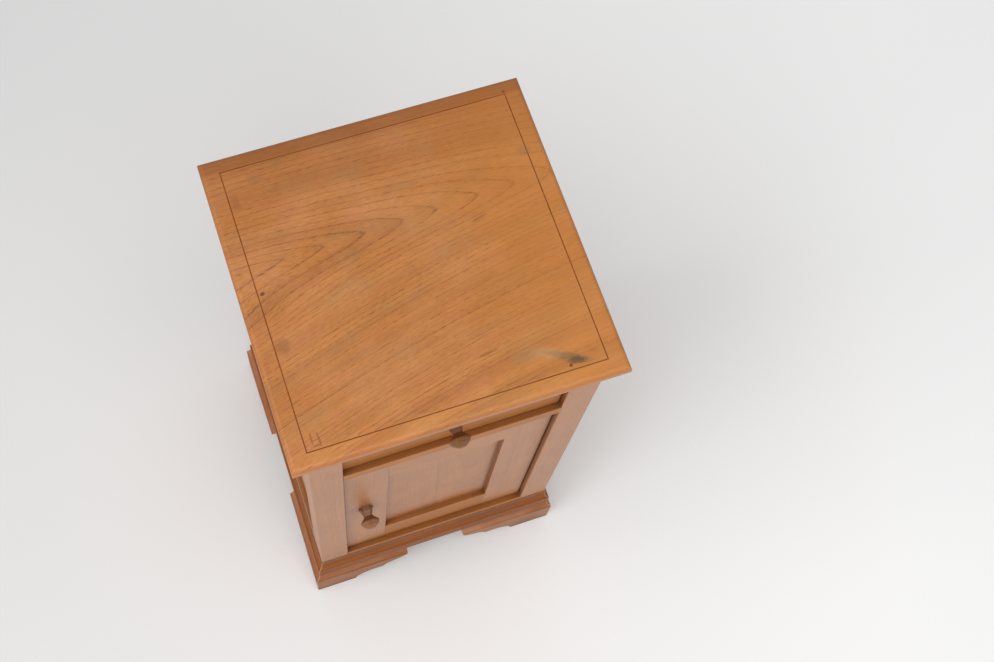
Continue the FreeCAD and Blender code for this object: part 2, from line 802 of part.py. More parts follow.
# ---------------------------------------------------------------- door
door_thick = ("show_face", "door_back")
door_inner = ("-(door_half - stile_width)", "door_half - stile_width")
door_panel_thick = ("show_face + door_panel_recess",
                    "show_face + door_panel_recess + door_panel_thickness")
door_middle = ("door_foot + door_low_rail", "door_head - door_top_rail")
door_levels = {"top": ("door_head - door_top_rail", "door_head"),
               "low": ("door_foot", "door_foot + door_low_rail")}
door_slot = widened(door_middle, "door_groove_depth")
for level, height in door_levels.items():
    groove = block("door_rail_groove", door_inner, door_panel_thick, door_slot)
    rail(f"door_rail_{level}", ("door_stile_left", "door_stile_right"), "x",
         {"x": door_inner, "y": door_thick, "z": height},
         {"y": inset(door_thick, "(door_thickness - door_tenon_thickness) / 2",
                     "door_tenon_thickness"), "z": shouldered(height)},
         "door_tenon_length", [groove])
held = "door_groove_depth - panel_play"
keep("door_panel", block("door_panel_board", widened(door_inner, held), door_panel_thick,
                         widened(door_middle, held)))
knob("door_knob", "-knob_across", "door_foot + door_knob_height")

catch_hole = bore("catch_hole", "catch_radius", "catch_length", *catch_place,
                  "door_head - catch_length")
stile_bores = {
    "left": [catch_hole, knob_hole("door_knob_hole", "-knob_across",
                                   "door_foot + door_knob_height")],
    "right": [pivot("lower_pivot_hole", "pivot_clearance", "door_foot", "pivot_length"),
              pivot("upper_pivot_hole", "pivot_clearance", "door_head - pivot_length",
                    "pivot_length")],
}
for side in ("left", "right"):
    label = f"door_stile_{side}"
    groove = block("stile_groove", across(side, "door_half - stile_width",
                                          "door_half - stile_width + door_groove_depth"),
                   door_panel_thick, door_slot)
    upright = bar(f"{label}_bar", across(side, "door_half - stile_width", "door_half"),
                  door_thick, ("door_foot", "door_head"), "front", "z")
    keep(label, cut(f"{label}_cut", upright, sockets[label] + [groove] + stile_bores[side]))

# The door turns on two pins that stand in the low rail and in the divider.
pin_reach = "pivot_length + door_gap + pivot_length - mortise_gap"
keep("door_pivot_pins", joined("pivot_pin_pair", [
    pivot("lower_pin", "0", "cupboard_floor - pivot_length", pin_reach),
    pivot("upper_pin", "0", "door_ceiling + pivot_length - (" + pin_reach + ")", pin_reach),
]))
washer = bore("washer_plate", "washer_radius", "washer_thickness", "pivot_across",
              "pivot_along", "cupboard_floor")
keep("door_pivot_washer", cut("washer_drilled", washer, [
    pivot("washer_hole", "0", "cupboard_floor", "washer_thickness")]))

# A sprung ball in the door's head clicks into a plate under the divider.
catch = doc.addObject("PartDesign::Body", "catch_body")
catch_profile = sketch_on(catch, "catch_profile", "XZ_Plane")
outline(catch_profile, [
    ("0", "-catch_length"),
    ("catch_radius", "-catch_length"),
    ("catch_radius", "0"),
    ("catch_rise * 2", "0", "(catch_rise ^ 2 + (catch_rise * 2) ^ 2) / (2 * catch_rise)", 1),
    ("0", "catch_rise"),
])
catch_turned = catch.newObject("PartDesign::Revolution", "catch_turned")
catch_turned.Profile = catch_profile
catch_turned.ReferenceAxis = (catch_profile, ["V_Axis"])
catch_turned.Angle = 360
keep("ball_catch", place(catch, *catch_place, "door_head"))
keep("catch_strike", cut("strike_drilled", block("strike_plate", *strike.values()), [
    bore("ball_hole", "catch_radius", "strike_thickness", *catch_place, "door_ceiling")]))

keep("door_stop", block("door_stop_block", across("left", "opening_half - stop_length",
                                                  "opening_half"),
                        ("door_back + stop_gap", "front_face + divider_depth"),
                        ("door_ceiling - stop_height", "door_ceiling")))

# ---------------------------------------------------------------- drawer
drawer_front_y = ("show_face", "show_face + door_thickness")
drawer_up = ("drawer_foot", "drawer_head")
bottom_up = ("drawer_foot + drawer_bottom_lift",
             "drawer_foot + drawer_bottom_lift + drawer_bottom_thickness")
inner_half = "drawer_half - drawer_side_thickness"
drawer_back_y = ("drawer_end - drawer_side_thickness", "drawer_end")


def side_outline():
    """A drawer side seen from the right, with its row of dovetails at the front."""
    shoulder, ends = drawer_front_y[1], "show_face + dovetail_lap"
    pitch = f"(drawer_head - drawer_foot) / {DOVETAILS}"
    corners = [("drawer_end", "drawer_foot"), (shoulder, "drawer_foot")]
    for tail in range(DOVETAILS):
        middle = f"drawer_foot + {pitch} * {tail + 0.5}"
        neck, wide = "dovetail_neck / 2", "(dovetail_neck / 2 + dovetail_flare)"
        corners += [(shoulder, f"{middle} - {neck}"), (ends, f"{middle} - {wide}"),
                    (ends, f"{middle} + {wide}"), (shoulder, f"{middle} + {neck}")]
    return corners + [(shoulder, "drawer_head"), ("drawer_end", "drawer_head")]


side_bodies = []
bottom_plate = block("drawer_bottom_board",
                     ("-(drawer_half - drawer_side_thickness + drawer_groove_depth)",
                      "drawer_half - drawer_side_thickness + drawer_groove_depth"),
                     ("show_face + door_thickness - drawer_groove_depth", "drawer_end"),
                     bottom_up)
back_notch = block("drawer_back_seat", ("-drawer_half + drawer_groove_depth",
                                        "drawer_half - drawer_groove_depth"),
                   drawer_back_y, (bottom_up[1], "drawer_head"))
for side in ("left", "right"):
    body = doc.addObject("PartDesign::Body", f"drawer_side_{side}_body")
    elevation = sketch_on(body, f"drawer_side_{side}_elevation", "YZ_Plane")
    outline(elevation, side_outline())
    pad(body, elevation, "drawer_side_thickness")
    place(body, across(side, inner_half, "drawer_half")[0], "0", "0")
    side_bodies.append(body)
    keep(f"drawer_side_{side}", cut(f"drawer_side_{side}_cut", body,
                                    [bottom_plate, back_notch]))
keep("drawer_back", back_notch)
keep("drawer_bottom", bottom_plate)
front_board = bar("drawer_front_board", ("-drawer_half", "drawer_half"), drawer_front_y,
                  ("drawer_floor + drawer_gap", "drawer_ceiling - drawer_gap"), "front", "all")
keep("drawer_front", cut("drawer_front_cut", front_board, side_bodies + [
    bottom_plate,
    knob_hole("drawer_knob_hole", "0", "(drawer_floor + drawer_ceiling) / 2")]))
knob("drawer_knob", "0", "(drawer_floor + drawer_ceiling) / 2")

# ---------------------------------------------------------------- check and write
doc.recompute()
broken = [item.Name for item in doc.Objects if {"Invalid", "Error"} & set(item.State)]
if broken:
    raise RuntimeError(f"not built: {broken}")
for label, thing in nodes.items():
    if thing.Shape.isNull() or not thing.Shape.isValid():
        raise RuntimeError(f"{label} has no sound shape")
    thing.Shape.exportStep(f"parts/{label}.step")
    print(f"{label}: {len(thing.Shape.Solids)} solid(s), {thing.Shape.Volume / 1000:.1f} cm3")
print(len(nodes), "sub-parts")
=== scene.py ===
# %% [markdown]
# # A storage side table with a door
#
# A small old cupboard stands beside a bed or a chair. It has one shallow drawer over
# one panelled door, four square posts, a top that hangs over all round, and a moulded
# base on scrolled bracket feet. Everything that shows is one waxed hardwood.
#
# The carpentry is done before the lesson starts: each board comes at its real size,
# with its tenons, its mitres and its rounded edges. So the lesson adds no shape. It
# sets up a small studio, and then gives each board the wood that it is made of.

# %% Load the carpentry
import math

import bpy
from mathutils import Matrix, Vector


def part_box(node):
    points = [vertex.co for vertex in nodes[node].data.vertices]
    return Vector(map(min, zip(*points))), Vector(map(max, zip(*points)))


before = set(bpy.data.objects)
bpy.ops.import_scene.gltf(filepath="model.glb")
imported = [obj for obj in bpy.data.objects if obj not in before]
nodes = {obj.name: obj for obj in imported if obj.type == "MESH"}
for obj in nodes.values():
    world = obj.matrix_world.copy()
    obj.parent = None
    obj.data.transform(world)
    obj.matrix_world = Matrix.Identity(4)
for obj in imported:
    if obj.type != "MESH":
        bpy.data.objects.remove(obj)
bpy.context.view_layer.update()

# %% [markdown]
# ## Where we stand
#
# The cupboard is seen from high up, in front of its left-hand corner, with a normal
# lens. The camera could be turned by three angles, but a steep view with a roll is hard
# to read from angles. So its directions are written as the rows of a matrix. The lens's
# own middle lies a little to the left of the frame's and a little above it, which is
# what the small shift is for.

# %% Camera
EYE = Vector((-0.22812, -0.55262, 2.28662))
LENS = 52.35
SENSOR = 36.0
SHIFT = (0.0519, -0.0449)
FAR_LIMIT = 50.0

camera = bpy.data.objects.new("camera", bpy.data.cameras.new("camera"))
bpy.context.scene.collection.objects.link(camera)
camera.data.lens = LENS
camera.data.sensor_width = SENSOR
camera.data.shift_x, camera.data.shift_y = SHIFT
camera.data.clip_end = FAR_LIMIT
print("lens", LENS, "mm, eye", EYE.z, "m above the floor")

# %% Point the camera
RIGHT = Vector((0.94605, -0.31985, 0.05189))
UP = Vector((0.28221, 0.89201, 0.35310))

backward = RIGHT.cross(UP).normalized()
rows = Matrix((RIGHT, backward.cross(RIGHT), backward))
camera.matrix_world = Matrix.Translation(EYE) @ rows.transposed().to_4x4()
bpy.context.scene.camera = camera
bpy.context.scene.view_settings.view_transform = "Standard"
print("the camera looks along", tuple(-backward))

# %% [markdown]
# ## Colours and nodes
#
# Paint makers give colours as sRGB hex values, and the shaders work in linear light, so
# one function turns the one into the other. A second function adds a node with its
# settings and its links. Every material below is made with these two. Sockets that
# share a name are called by number: a mix takes its share in 0 and its colours in 6
# and 7, and a map range goes from the ends in 1 and 2 to the ends in 3 and 4.


# %% A colour
def tone(code):
    """An sRGB hex value as linear red, green, blue and alpha."""
    parts = [int(code[start:start + 2], 16) / 255 for start in (1, 3, 5)]
    return [part / 12.92 if part <= 0.04045 else ((part + 0.055) / 1.055) ** 2.4
            for part in parts] + [1.0]


print("white is", tone("#FFFFFF")[:3])


# %% A node
def add(tree, kind, sockets=None, stops=None, **settings):
    """Adds a node. Each socket gets a value, or a link from another node's output. The
    stops are a colour ramp's: a position, and a hex colour or a plain grey level."""
    node = tree.nodes.new(kind)
    for word, setting in settings.items():
        setattr(node, word, setting)
    for socket, entry in (sockets or {}).items():
        if isinstance(entry, bpy.types.NodeSocket):
            tree.links.new(entry, node.inputs[socket])
        else:
            node.inputs[socket].default_value = entry
    if stops:
        band = node.color_ramp.elements
        while len(band) < len(stops):
            band.new(1.0)
        for element, (position, colour) in zip(band, stops):
            element.position = position
            element.color = tone(colour) if isinstance(colour, str) else [colour] * 3 + [1]
    return node


print("one function adds every node")

# %% [markdown]
# ## The floor
#
# The cupboard stands on a plain pale sweep of matt paper. The room is dimmer at the far
# left. A lamp could make that difference, but it would fall on the wood too. So the
# paper's own colour fades slowly to grey along one direction, a painted shade.

# %% Floor
REACH = 12.0
floor_mesh = bpy.data.meshes.new("floor")
floor_mesh.from_pydata([(-REACH, -REACH, 0), (REACH, -REACH, 0), (REACH, REACH, 0),
                        (-REACH, REACH, 0)], [], [(0, 1, 2, 3)])
floor = bpy.data.objects.new("floor", floor_mesh)
bpy.context.scene.collection.objects.link(floor)
print("floor", REACH * 2, "m square")

# %% Studio paper
PAPER_NEAR = "#FCFCFC"
PAPER_FAR_SHADED = "#DCDCDC"
PAPER_ROUGHNESS = 0.9
TOWARDS_NEAR = (0.92, -0.39, 0.0)
FAR_END, NEAR_END = -0.76, 0.82

paper = bpy.data.materials.new("studio_paper")
paper.use_nodes = True
tree = paper.node_tree
spot = add(tree, "ShaderNodeTexCoord").outputs["Object"]
forward = add(tree, "ShaderNodeVectorMath", {0: spot, 1: TOWARDS_NEAR},
              operation="DOT_PRODUCT").outputs["Value"]
# Painted shade: the paper greys towards the far left.
fade = add(tree, "ShaderNodeMapRange", {0: forward, 1: FAR_END, 2: NEAR_END}).outputs[0]
paper_with_painted_shade = add(tree, "ShaderNodeMix", {0: fade, 6: tone(PAPER_FAR_SHADED), 7: tone(PAPER_NEAR)},
            data_type="RGBA").outputs[2]
paper_shader = tree.nodes["Principled BSDF"]
tree.links.new(paper_with_painted_shade, paper_shader.inputs["Base Color"])
paper_shader.inputs["Roughness"].default_value = PAPER_ROUGHNESS
floor_mesh.materials.append(paper)
print("paper from", PAPER_FAR_SHADED, "to", PAPER_NEAR)

# %% [markdown]
# ## The light
#
# The studio's light is soft and comes from everywhere. The world gives about half of
# it. One large lamp on the left lets a faint shadow fall to the right, and one high up
# in front keeps the floor bright up to the cupboard's feet. Small lamps would draw hard
# shadows. At this level a colour renders about as it is written.

# %% World
WORLD_LEVEL = 0.52
world = bpy.data.worlds.new("studio")
bpy.context.scene.world = world
world.use_nodes = True
sky = world.node_tree.nodes["Background"]
sky.inputs["Color"].default_value = tone("#FFFFFF")
sky.inputs["Strength"].default_value = WORLD_LEVEL
print("world level", WORLD_LEVEL)

# %% Soft lamps
LAMP_SIZE = 3.0
LIT_POINT = Vector((0, 0, 0.3))


def soft_lamp(name, place, power):
    """A large square lamp that faces the cupboard."""
    lamp = bpy.data.objects.new(name, bpy.data.lights.new(name, "AREA"))
    bpy.context.scene.collection.objects.link(lamp)
    lamp.data.shape = "SQUARE"
    lamp.data.size = LAMP_SIZE
    lamp.data.energy = power
    lamp.location = place
    lamp.rotation_euler = (LIT_POINT - lamp.location).to_track_quat("-Z", "Y").to_euler()


soft_lamp("left", (-3.0, -0.6, 3.6), 84)
soft_lamp("front", (-0.2, -1.9, 4.2), 63)
print("lamps:", [thing.name for thing in bpy.data.lights])

# %% [markdown]
# ## Sawn wood
#
# A board is cut from a trunk, and its figure is the trunk's rings seen where the saw
# went. A picture of wood would repeat the same figure on every board, and would show a
# seam at each end. So the material starts with the tree: it turns each point of the
# board into trunk coordinates, with the heart of the tree as the third axis. A heart
# that leans away from the board gives the pointed arches of a flat-sawn top, one far
# away gives the straight lines of a quartered post, and the ends of each board show the
# same rings cut across.

# %% The place in the tree
MM = 0.001
TRUNK = Vector((0, 0, 1))


def in_the_trunk(tree, place, grain, heart):
    """Where each point was in its tree. The third distance runs along the trunk."""
    turn = Vector(grain).normalized().rotation_difference(TRUNK).to_matrix()
    return add(tree, "ShaderNodeMapping", {
        "Vector": place, "Rotation": turn.to_euler(),
        "Location": -(turn @ Vector(heart))}).outputs[0]


print("the trunk stands along", tuple(TRUNK))

# %% [markdown]
# ### What grows in it
#
# Wood grows long and thin, so every pattern in it is noise that is stretched along the
# trunk. The table gives each one's size across and along, in millimetres, and how much
# finer detail it has. Real pores are 0.2 mm wide, too fine to show from here, so they
# are drawn 0.9 mm wide. Each noise is taken from another place, so that no two agree.

# %% Growth
GROWTH = {
    "drift": (70, 260, 1.0),
    "patches": (26, 85, 2.0),
    "streaks": (4, 70, 2.0),
    "fibres": (0.9, 14, 2.0),
    "pores": (0.9, 9, 0.0),
}
APART = 7.0
GROWTH_ROUGHNESS = 0.55


def grown(tree, trunk):
    """One stretched noise for each line of the table."""
    layers = {}
    for number, (name, (width, length, detail)) in enumerate(GROWTH.items()):
        stretched = add(tree, "ShaderNodeMapping", {
            "Vector": trunk, "Location": (APART * number,) * 3,
            "Scale": (1 / (width * MM), 1 / (width * MM), 1 / (length * MM))}).outputs[0]
        layers[name] = add(tree, "ShaderNodeTexNoise", {
            "Vector": stretched, "Scale": 1.0, "Detail": detail,
            "Roughness": GROWTH_ROUGHNESS}).outputs
    return layers


print("growth layers:", list(GROWTH))

# %% [markdown]
# ### Counting the years
#
# The distance from the heart over the width of one year's growth is the ring number. A
# wave texture has rings too, but they are even. A trunk is never straight, so here the
# rings wander by a few millimetres, and good and bad years make them uneven.

# %% Wandering rings
MIDDLE_GREY = (0.5, 0.5, 0.5)


def from_the_heart(tree, trunk, layers, wander):
    """Each point's distance from a heart that wanders as the trunk goes up."""
    drift = add(tree, "ShaderNodeVectorMath", {0: layers["drift"]["Color"], 1: MIDDLE_GREY},
                operation="SUBTRACT").outputs[0]
    bent = add(tree, "ShaderNodeVectorMath", {
        0: drift, 1: (2 * wander, 2 * wander, 0.0), 2: trunk},
        operation="MULTIPLY_ADD").outputs[0]
    flat = add(tree, "ShaderNodeVectorMath", {0: bent, 1: (1, 1, 0)},
               operation="MULTIPLY").outputs[0]
    return add(tree, "ShaderNodeVectorMath", {0: flat}, operation="LENGTH").outputs["Value"]


print("the heart wanders, and the rings with it")

# %% Uneven years
WEATHER_SCALE = 0.55
WEATHER_CHANGE = 0.9


def years_of(tree, radius, ring):
    """The ring number at each distance from the heart."""
    even = add(tree, "ShaderNodeMath", {0: radius, 1: ring}, operation="DIVIDE").outputs[0]
    weather = add(tree, "ShaderNodeTexNoise", {
        "W": even, "Scale": WEATHER_SCALE, "Detail": 1.0}, noise_dimensions="1D").outputs[0]
    return add(tree, "ShaderNodeMath", {0: weather, 1: WEATHER_CHANGE, 2: even},
               operation="MULTIPLY_ADD").outputs[0]


print("weather moves a ring by up to", WEATHER_CHANGE, "of a year")

# %% [markdown]
# ### Late wood
#
# Spring wood is pale, and each year ends in a thin darker line of late wood. The part
# of the ring number after the point is the season. One random number for each whole year
# says how hard it was. The line is stronger in a hard year and in the tree's first few.

# %% Late wood
SEASONS = [(0.0, 0.5), (0.05, 0.05), (0.60, 0.02), (0.86, 0.25), (0.95, 1.0), (1.0, 0.6)]
MILD, HARD = 0.1, 1.1
GROWN_UP, YOUNG = 7.0, 5.0


def late_wood(tree, years):
    """How much late wood there is at each point, from 0 in spring to about 1."""
    season = add(tree, "ShaderNodeMath", {0: years}, operation="FRACT").outputs[0]
    late = add(tree, "ShaderNodeValToRGB", {0: season}, stops=SEASONS).outputs[0]
    year = add(tree, "ShaderNodeMath", {0: years}, operation="FLOOR").outputs[0]
    weather = add(tree, "ShaderNodeTexWhiteNoise", {"W": year},
                  noise_dimensions="1D").outputs["Value"]
    hard_year = add(tree, "ShaderNodeMapRange", {0: weather, 3: MILD, 4: HARD}).outputs[0]
    young = add(tree, "ShaderNodeMapRange", {0: years, 1: GROWN_UP, 2: YOUNG}).outputs[0]
    strong = add(tree, "ShaderNodeMath", {0: hard_year, 1: young},
                 operation="MAXIMUM").outputs[0]
    return add(tree, "ShaderNodeMath", {0: late, 1: strong}, operation="MULTIPLY").outputs[0]


print("a year has", len(SEASONS), "stops")

# %% [markdown]
# ### Spring wood
#
# Between the lines a board's own tone comes from its fibres, its streaks, its patches
# and the year. They are added up and go through a ramp of three browns. Patches as wide
# as a thumb lean to a rosy or to an olive brown, as old elm does. One flat brown with a
# little noise would look like plastic.

# %% Spring wood
BROWN_STOPS = (0.44, 0.62, 0.80)
GOOD_YEAR_SCALE = 0.35
YEAR_SHARE = 0.25
PATCH_SHARE = 0.4
FINE_SHARES = {"streaks": 0.2, "fibres": 0.35}


def spring_wood(tree, years, layers, tones, contrast):
    """The wood's own brown between its lines. Average wood is the middle brown."""
    shares = {name: share * contrast for name, share in FINE_SHARES.items()}
    shares["patches"] = PATCH_SHARE
    year_share = YEAR_SHARE * contrast
    start = BROWN_STOPS[1] - (year_share + sum(shares.values())) / 2
    good_year = add(tree, "ShaderNodeTexNoise", {
        "W": years, "Scale": GOOD_YEAR_SCALE, "Detail": 0.0}, noise_dimensions="1D").outputs[0]
    level = add(tree, "ShaderNodeMath", {0: good_year, 1: year_share, 2: start},
                operation="MULTIPLY_ADD").outputs[0]
    for name, share in shares.items():
        level = add(tree, "ShaderNodeMath", {0: layers[name][0], 1: share, 2: level},
                    operation="MULTIPLY_ADD").outputs[0]
    return add(tree, "ShaderNodeValToRGB", {0: level},
               stops=list(zip(BROWN_STOPS, tones))).outputs[0]


print("three browns at", BROWN_STOPS)


# %% A wash of colour
def washed(tree, colour, measure, start, full, strength, code):
    """The colour with a wash over it, from none where the measure is at its start to
    its whole strength where it is full."""
    share = add(tree, "ShaderNodeMapRange", {
        0: measure, 1: start, 2: full, 4: strength}).outputs[0]
    return add(tree, "ShaderNodeMix", {0: share, 6: colour, 7: tone(code)},
               data_type="RGBA").outputs[2]


print("a wash lies thicker where a measure is fuller")

# %% Tints
# A rosy tint where the patches are low and an olive one where they are high.
ROSY_FROM, ROSY_TO = 0.48, 0.32
OLIVE_FROM, OLIVE_TO = 0.52, 0.68
TOP_TINTS = ((0.30, "#B4623E"), (0.30, "#B4844A"))
BOARD_TINTS = ((0.16, "#B4683F"), (0.14, "#B88C60"))


def tinted(tree, colour, layers, tints):
    """The brown with its rosy and its olive patches."""
    patches = layers["patches"][0]
    rosy, olive = tints
    colour = washed(tree, colour, patches, ROSY_FROM, ROSY_TO, *rosy)
    return washed(tree, colour, patches, OLIVE_FROM, OLIVE_TO, *olive)


print("the top's tints:", TOP_TINTS)

# %% [markdown]
# ### Year lines and pores
#
# Seen close, the line that ends a year is mostly short dashes: elm has large pores, and
# they stand in rows in each year's first wood. So a faint even line is drawn first, and
# the pores go over it, dense in the line and sparse elsewhere.

# %% Lines and pores
LINE_DEPTH = 0.45
PORE_STOPS = [(0.54, 0.0), (0.62, 1.0)]
PORES_IN_LINES = 0.65
PORES_ELSEWHERE = 0.15


def lined(tree, colour, late, layers, dark, contrast):
    """The wood with its year lines and pores, and how deep the pores are."""
    line = add(tree, "ShaderNodeMath", {0: late, 1: LINE_DEPTH * contrast},
               operation="MULTIPLY").outputs[0]
    colour = add(tree, "ShaderNodeMix", {0: line, 6: colour, 7: tone(dark)},
                 data_type="RGBA").outputs[2]
    dash = add(tree, "ShaderNodeValToRGB", {0: layers["pores"][0]},
               stops=PORE_STOPS).outputs[0]
    share = add(tree, "ShaderNodeMath", {
        0: late, 1: PORES_IN_LINES * contrast, 2: PORES_ELSEWHERE * contrast},
        operation="MULTIPLY_ADD").outputs[0]
    pores = add(tree, "ShaderNodeMath", {0: dash, 1: share}, operation="MULTIPLY").outputs[0]
    return add(tree, "ShaderNodeMix", {0: pores, 6: colour, 7: tone(dark)},
               data_type="RGBA").outputs[2], pores


print("pores in the lines and elsewhere:", PORES_IN_LINES, PORES_ELSEWHERE)

# %% [markdown]
# ## Old age
#
# A century of wax and hands leaves soft, slightly darker clouds, with a faint pale haze
# between them where the wax has dried, which is also a painted sheen. Dark wax and dust
# stay in the corners that a cloth doesn't reach and on the ledges, and there the darkening
# is also painted shade. Edges that are touched every day are rubbed pale, which is also a
# painted highlight. These could be painted by hand, board by board. Here the shape itself
# says where they go, so that they stay right when a joint moves.

# %% Clouds of wax
CLOUD_SIZE = 85 * MM
CLOUDY, CLEAR = 0.32, 0.66
CLOUD_DIM = 0.92
BLOOM_FROM, BLOOM_TO = 0.40, 0.65
# Painted sheen: the pale wash is dried wax and also a painted sheen.
BLOOM_AND_SHEEN = "#CDAE90"


def clouded(tree, colour, place, shade, bloom):
    """Soft clouds over a wood colour, with a pale wash of dried wax and painted sheen, and the
    clouds themselves.
    """
    clouds = add(tree, "ShaderNodeTexNoise", {
        "Vector": place, "Scale": 1 / CLOUD_SIZE, "Detail": 3.0}).outputs[0]
    dim = add(tree, "ShaderNodeValToRGB", {0: clouds}, stops=[
        (CLOUDY, CLOUD_DIM * shade), (CLEAR, shade)]).outputs[0]
    colour = add(tree, "ShaderNodeMix", {0: 1.0, 6: colour, 7: dim}, data_type="RGBA",
                 blend_type="MULTIPLY").outputs[2]
    return washed(tree, colour, clouds, BLOOM_FROM, BLOOM_TO, bloom, BLOOM_AND_SHEEN), clouds


print("clouds are", CLOUD_SIZE / MM, "mm wide")

# %% [markdown]
# ### Corners, ledges and edges
#
# An occlusion node measures how much open sky a point sees, which finds the corners.
# The height of the normal finds the ledges, which look up. A bevelled normal finds the
# edges: where it leaves the true normal, there is an edge.

# %% Corners and ledges
SHADED_CORNER_REACH = 22 * MM
OPEN, SHUT_IN = 0.90, 0.35
SLOPING, LEVEL = 0.60, 0.95
OLD_WAX_AND_SHADE = "#4A200C"


def darkened_by_wax_and_shade(tree, colour, wax_and_shade, ledge):
    """Old wax and painted shade in the corners and on the ledges."""
    open_sky = add(tree, "ShaderNodeAmbientOcclusion", {"Distance": SHADED_CORNER_REACH},
                   samples=6).outputs["AO"]
    # Painted shade: corners that see little open sky are darkened, as old wax and as the shade
    # that falls there.
    corner_wax_and_shade = add(tree, "ShaderNodeMapRange", {
        0: open_sky, 1: OPEN, 2: SHUT_IN, 4: wax_and_shade}).outputs[0]
    normal = add(tree, "ShaderNodeNewGeometry").outputs["Normal"]
    upward = add(tree, "ShaderNodeSeparateXYZ", {0: normal}).outputs["Z"]
    # Painted shade: faces that look up are darkened, as dust and as the shade under the
    # overhang.
    shelf_dust_and_shade = add(tree, "ShaderNodeMapRange", {
        0: upward, 1: SLOPING, 2: LEVEL, 4: ledge}).outputs[0]
    settled_wax_and_shade = add(tree, "ShaderNodeMath", {0: corner_wax_and_shade, 1: shelf_dust_and_shade},
                  operation="MAXIMUM").outputs[0]
    return add(tree, "ShaderNodeMix", {0: settled_wax_and_shade, 6: colour, 7: tone(OLD_WAX_AND_SHADE)},
               data_type="RGBA").outputs[2]


print("dark corners reach", SHADED_CORNER_REACH / MM, "mm")

# %% Worn and highlit edges
EDGE_REACH = 1.6 * MM
FACE, EDGE = 0.985, 0.86
PALE_EDGE_AND_HIGHLIGHT = "#D9B491"


def edge_worn(tree, colour, worn):
    """Edges painted pale: rubbed wear and a painted highlight."""
    normal = add(tree, "ShaderNodeNewGeometry").outputs["Normal"]
    # Painted highlight: rounded arrises are paled, as wear and as the highlight that they
    # catch.
    soft = add(tree, "ShaderNodeBevel", {"Radius": EDGE_REACH}, samples=4).outputs[0]
    same = add(tree, "ShaderNodeVectorMath", {0: normal, 1: soft},
               operation="DOT_PRODUCT").outputs["Value"]
    return washed(tree, colour, same, FACE, EDGE, worn, PALE_EDGE_AND_HIGHLIGHT)


print("worn edges reach", EDGE_REACH / MM, "mm")

# %% [markdown]
# ## Waxed hardwood
#
# The wood is elm, planed and waxed many times. Wood has an IOR near 1.5, and a planed,
# waxed face a roughness of 0.35 to 0.5, with a thin smoother coat of wax over it, so the
# eye sees a soft sheen and no clear reflection. The clouds vary the gloss too, and the
# fibres and pores give a shallow relief. The table is the ordinary board, and each board
# below names only what is different about it.

# %% The ordinary board
BOARD_TONES = ("#C07C3B", "#B26E30", "#9E5D29", "#743F1C")
ORDINARY = {
    "tones": BOARD_TONES,    # three browns for spring wood, then the dark of the lines
    "tints": BOARD_TINTS,    # the rosy and the olive patches
    "contrast": 1.0,         # how clearly the figure shows
    "ring": 5.8 * MM,        # the width of a year's growth
    "wander": 5.0 * MM,      # how far the rings stray
    "lopsided": None,        # a function that gives the trunk another shape
    "shade": 1.0,            # how far the wood has darkened or bleached
    "bloom": 0.0,            # pale dry wax and painted sheen
    "marks": None,           # a function that lays marks of use
    "wax_and_shade": 0.75,            # old wax and painted shade in the corners
    "ledge": 0.1,            # old wax and painted shade on the faces that look up
    "worn": 0.35,            # pale edges: wear and a painted highlight
    "roughness": 0.42,
    "gleam": 0.5,            # 0.5 is the whole reflection of the IOR
    "wax": 0.15,             # the coat
}
print("a board is told by", len(ORDINARY), "words")

# %% Relief
FIBRE_HEIGHT = 0.5
RELIEF_DEPTH = 0.2 * MM
RELIEF_STRENGTH = 0.25


def relief_of(tree, layers, pores):
    """A shallow relief: the fibres stand up and the pores lie deep."""
    raised = add(tree, "ShaderNodeMath", {0: layers["fibres"][0], 1: FIBRE_HEIGHT},
                 operation="MULTIPLY").outputs[0]
    height = add(tree, "ShaderNodeMath", {0: raised, 1: pores},
                 operation="SUBTRACT").outputs[0]
    return add(tree, "ShaderNodeBump", {"Height": height, "Strength": RELIEF_STRENGTH,
                                        "Distance": RELIEF_DEPTH}).outputs[0]


print("the relief is", RELIEF_DEPTH / MM, "mm deep")


# %% Planed wood
def planed_wood(tree, trunk, board):
    """A freshly planed face: its colour, its growth layers and its pores."""
    trunk, rings = board["lopsided"](tree, trunk) if board["lopsided"] else (trunk, trunk)
    layers = grown(tree, trunk)
    radius = from_the_heart(tree, rings, layers, board["wander"])
    years = years_of(tree, radius, board["ring"])
    *browns, dark = board["tones"]
    colour = spring_wood(tree, years, layers, browns, board["contrast"])
    colour = tinted(tree, colour, layers, board["tints"])
    colour, pores = lined(tree, colour, late_wood(tree, years), layers, dark,
                          board["contrast"])
    return colour, layers, pores


print("planed wood is years, tints, lines and pores")

# %% Waxed board
WOOD_IOR = 1.5
WAX_ROUGHNESS = 0.35
GLOSS_CHANGE = 0.14


